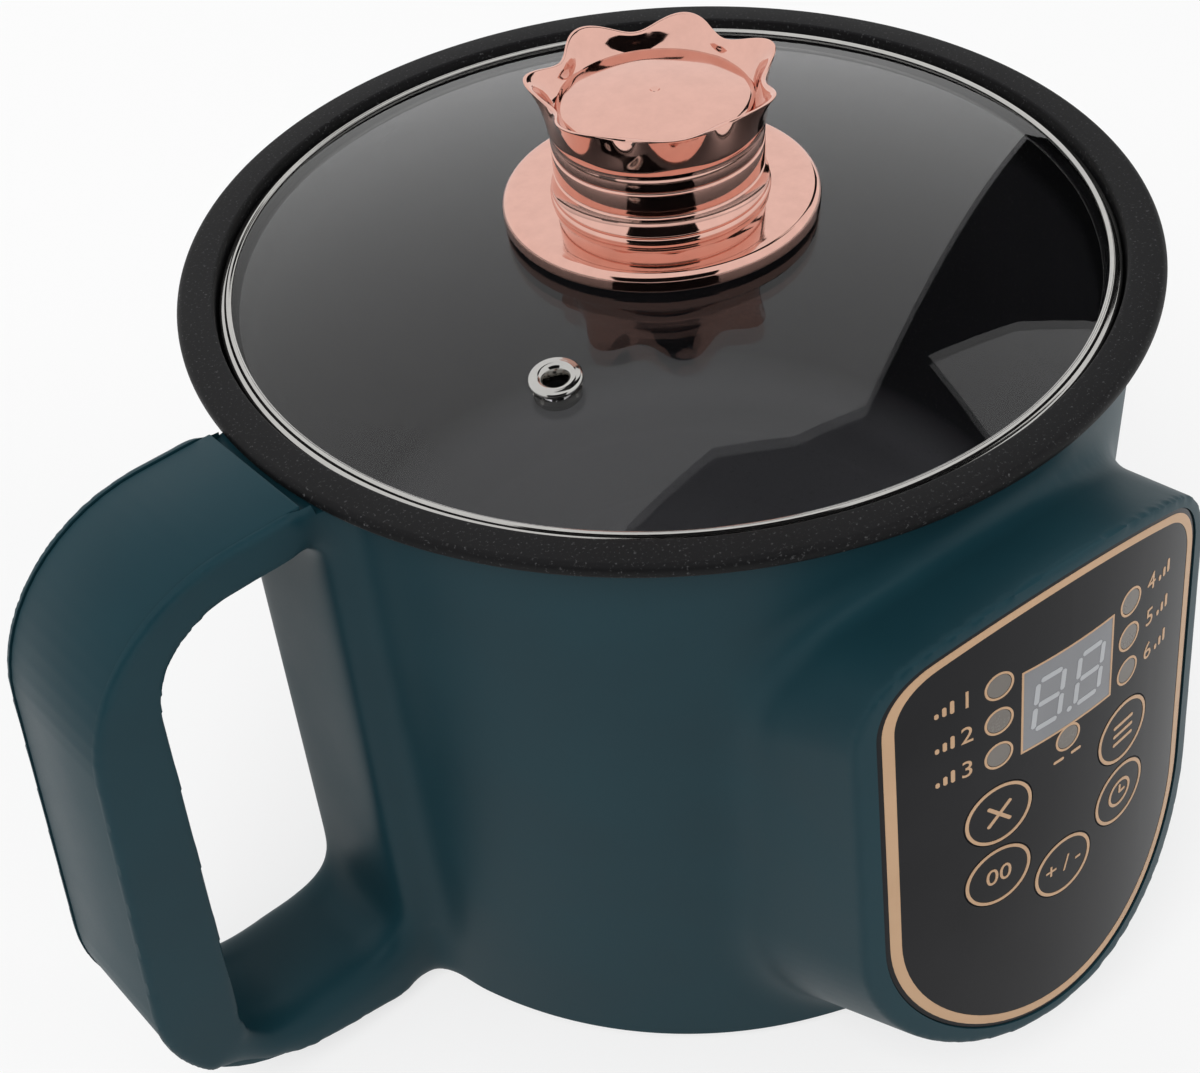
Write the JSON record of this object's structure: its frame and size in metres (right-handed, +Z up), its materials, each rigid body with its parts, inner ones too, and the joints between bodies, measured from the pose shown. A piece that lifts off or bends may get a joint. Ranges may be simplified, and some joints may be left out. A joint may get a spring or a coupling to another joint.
{
  "type": "electric hot pot with lid",
  "caption": "Countertop electric pot with a side handle, a control pod with a display, round keys and lights, and a lift-off glass lid with a scalloped knob.",
  "frame": {"origin": "on the pot's axis, at the table under the feet", "axes": "+Z up; the control panel faces -Y and the handle points to -X, 5 degrees towards the panel"},
  "size_m": [0.2563, 0.2223, 0.1826],
  "materials": {
    "shell_plastic": "satin teal",
    "nonstick_coat": "satin black",
    "seal_rubber": "soft",
    "lid_glass": "clear, slightly smoked",
    "steel": "polished",
    "rose_plating": "rose gold plating",
    "brass": "plain",
    "panel_gloss": "gloss black",
    "black_plastic": "plain",
    "display_lens": "grey tint",
    "display_body": "plain",
    "light_lens": "frosted",
    "led_white": "plain",
    "board_green": "solder mask",
    "foot_rubber": "soft",
    "cast_aluminium": "cast",
    "relay_body": "plain"
  },
  "bodies": {
    "pot_unit": {"housing": "shell_plastic", "grip_cover": "shell_plastic", "inner_pot": "nonstick_coat", "pot_seal": "seal_rubber", "panel_film": "panel_gloss", "panel_carrier": "black_plastic", "carrier_screws": "steel", "display_window": "display_lens", "display_module": "display_body", "light_pipes": "light_lens", "indicator_leds": "led_white", "key_switches": "black_plastic", "control_board": "board_green", "board_screws": "steel", "bottom_cover": "black_plastic", "feet": "foot_rubber", "base_screws": "steel", "heater_plate": "cast_aluminium", "heating_element": "steel", "heat_shield": "steel", "shield_screws": "steel", "sensor_cup": "cast_aluminium", "sensor_spring": "steel", "thermal_fuse": "led_white", "power_board": "board_green", "power_board_screws": "steel", "relay": "relay_body", "transformer": "relay_body", "terminal_block": "led_white", "power_inlet": "black_plastic", "inlet_pins": "brass"},
    "lid": {"lid_glass": "lid_glass", "lid_band": "steel", "vent_eyelet": "steel", "knob_base": "rose_plating", "knob_body": "rose_plating", "knob_cap": "rose_plating", "knob_gasket": "seal_rubber", "knob_insert": "brass", "knob_washer": "steel", "knob_screw": "steel"},
    "key_select_body": {"key_select": "panel_gloss"},
    "key_delay_body": {"key_delay": "panel_gloss"},
    "key_cancel_body": {"key_cancel": "panel_gloss"},
    "key_timer_body": {"key_timer": "panel_gloss"},
    "key_heat_body": {"key_heat": "panel_gloss"}
  },
  "joints": [
    {"name": "lid_lift", "type": "slide", "parent": "pot_unit", "child": "lid", "axis": [0, 0, 1], "range_m": [0, 0.08]},
    {"name": "key_select_press", "type": "slide", "parent": "pot_unit", "child": "key_select_body", "axis": [0, 0.9971, -0.0762], "range_m": [0, 0.0003], "stiffness_N_per_m": 3000},
    {"name": "key_delay_press", "type": "slide", "parent": "pot_unit", "child": "key_delay_body", "axis": [0, 0.9971, -0.0762], "range_m": [0, 0.0003], "stiffness_N_per_m": 3000},
    {"name": "key_cancel_press", "type": "slide", "parent": "pot_unit", "child": "key_cancel_body", "axis": [0, 0.9971, -0.0762], "range_m": [0, 0.0003], "stiffness_N_per_m": 3000},
    {"name": "key_timer_press", "type": "slide", "parent": "pot_unit", "child": "key_timer_body", "axis": [0, 0.9971, -0.0762], "range_m": [0, 0.0003], "stiffness_N_per_m": 3000},
    {"name": "key_heat_press", "type": "slide", "parent": "pot_unit", "child": "key_heat_body", "axis": [0, 0.9971, -0.0762], "range_m": [0, 0.0003], "stiffness_N_per_m": 3000}
  ]
}
